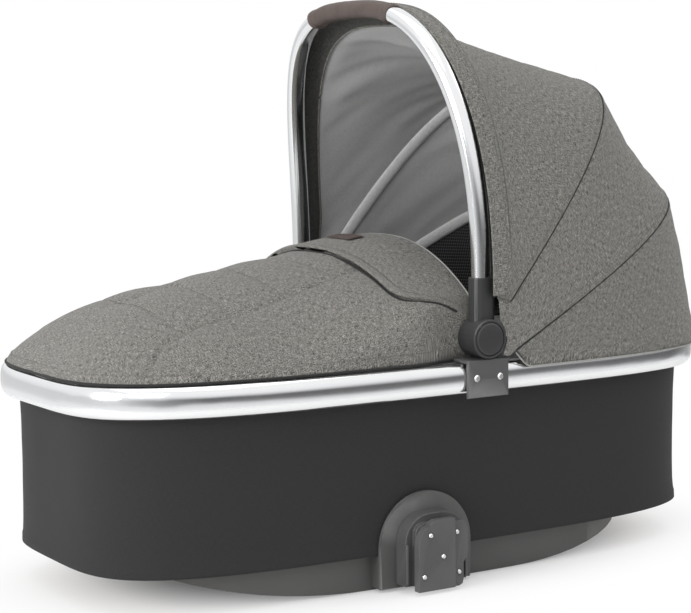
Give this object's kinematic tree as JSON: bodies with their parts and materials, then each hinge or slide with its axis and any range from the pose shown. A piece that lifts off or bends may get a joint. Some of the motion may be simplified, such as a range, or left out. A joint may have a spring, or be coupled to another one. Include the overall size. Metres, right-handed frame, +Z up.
{
  "type": "carrycot",
  "caption": "Pram carrycot with a folding hood on a polished hoop handle, fabric tub, quilted apron and a rocker base with side chassis adaptors.",
  "frame": {"origin": "middle of the overall box on the floor, below the centre of the carrycot", "axes": "+X points to the head end under the hood, -Y is the near side in the picture, +Z is up"},
  "size_m": [0.83, 0.453, 0.6393],
  "materials": {
    "base_plastic": "fine-grained mid grey moulding",
    "board": "hardboard, unseen",
    "steel": "bright zinc",
    "tub_fabric": "charcoal woven fabric",
    "lining": "grey satin",
    "mattress_fabric": "pale knitted cotton",
    "air_mesh": "black open mesh",
    "joint_plastic": "dark grey moulding",
    "polished_tube": "mirror polished tube",
    "leather": "brown leather, stitched",
    "hood_fabric": "grey-green melange weave",
    "spring_steel": "spring wire"
  },
  "bodies": {
    "cot": {"rocker_base": "base_plastic", "base_board": "board", "base_screw_1": "steel", "base_screw_2": "steel", "base_screw_3": "steel", "base_screw_4": "steel", "tub_wall": "tub_fabric", "liner": "lining", "mattress": "mattress_fabric", "foot_stay": "steel", "head_stay": "steel", "stay_socket_foot_left": "joint_plastic", "stay_socket_foot_right": "joint_plastic", "stay_socket_head_left": "joint_plastic", "stay_socket_head_right": "joint_plastic", "rail_foot_half": "polished_tube", "rail_head_half": "polished_tube", "clamp_left": "joint_plastic", "clamp_right": "joint_plastic", "clamp_rivet_left_foot": "steel", "clamp_rivet_right_foot": "steel", "clamp_rivet_left_head": "steel", "clamp_rivet_right_head": "steel", "pivot_pin_left": "steel", "pivot_pin_right": "steel", "adaptor_block_left": "base_plastic", "adaptor_block_right": "base_plastic", "adaptor_plate_left": "joint_plastic", "adaptor_plate_right": "joint_plastic", "adaptor_rivet_left_1": "steel", "adaptor_rivet_left_2": "steel", "adaptor_rivet_left_3": "steel", "adaptor_rivet_left_4": "steel", "adaptor_rivet_left_5": "steel", "adaptor_rivet_right_1": "steel", "adaptor_rivet_right_2": "steel", "adaptor_rivet_right_3": "steel", "adaptor_rivet_right_4": "steel", "adaptor_rivet_right_5": "steel", "apron": "hood_fabric", "apron_flap": "hood_fabric", "flap_patch": "leather", "hood_rear_panel": "hood_fabric", "hood_rear_lining": "air_mesh"},
    "rear_rib_body": {"rear_rib": "joint_plastic", "hood_mid_panel": "hood_fabric", "hood_mid_lining": "lining"},
    "mid_rib_body": {"mid_rib": "joint_plastic", "hood_front_panel": "hood_fabric", "hood_front_lining": "lining"},
    "handle_body": {"hoop": "polished_tube", "grip": "leather", "arm_left": "joint_plastic", "arm_right": "joint_plastic", "button_spring_left": "spring_steel", "button_spring_right": "spring_steel", "hood_front_band": "hood_fabric"},
    "button_left_body": {"button_left": "joint_plastic"},
    "button_right_body": {"button_right": "joint_plastic"}
  },
  "joints": [
    {"name": "hood_fold", "type": "hinge", "parent": "mid_rib_body", "child": "handle_body", "pos_m": [0.031, 0, 0.267], "axis": [0, 1, 0], "range_deg": [0, 24.5], "deforming": ["hood_front_band", "hood_front_panel", "hood_front_lining"]},
    {"name": "mid_rib_turn", "type": "hinge", "parent": "rear_rib_body", "child": "mid_rib_body", "pos_m": [0.031, 0, 0.267], "axis": [0, 1, 0], "range_deg": [0, 19.5], "deforming": ["hood_mid_panel", "hood_mid_lining"]},
    {"name": "rear_rib_turn", "type": "hinge", "parent": "cot", "child": "rear_rib_body", "pos_m": [0.031, 0, 0.267], "axis": [0, 1, 0], "range_deg": [0, 16], "deforming": ["hood_rear_panel", "hood_rear_lining"]},
    {"name": "button_left_press", "type": "slide", "parent": "handle_body", "child": "button_left_body", "axis": [0, -1, 0], "range_m": [0, 0.004], "stiffness_N_per_m": 1500, "springref_m": -0.001, "deforming": ["button_spring_left"]},
    {"name": "button_right_press", "type": "slide", "parent": "handle_body", "child": "button_right_body", "axis": [0, 1, 0], "range_m": [0, 0.004], "stiffness_N_per_m": 1500, "springref_m": -0.001, "deforming": ["button_spring_right"]}
  ],
  "couplings": [
    {"joint": "mid_rib_turn", "follows": "hood_fold", "ratio": 0.7959},
    {"joint": "rear_rib_turn", "follows": "hood_fold", "ratio": 0.6531}
  ]
}
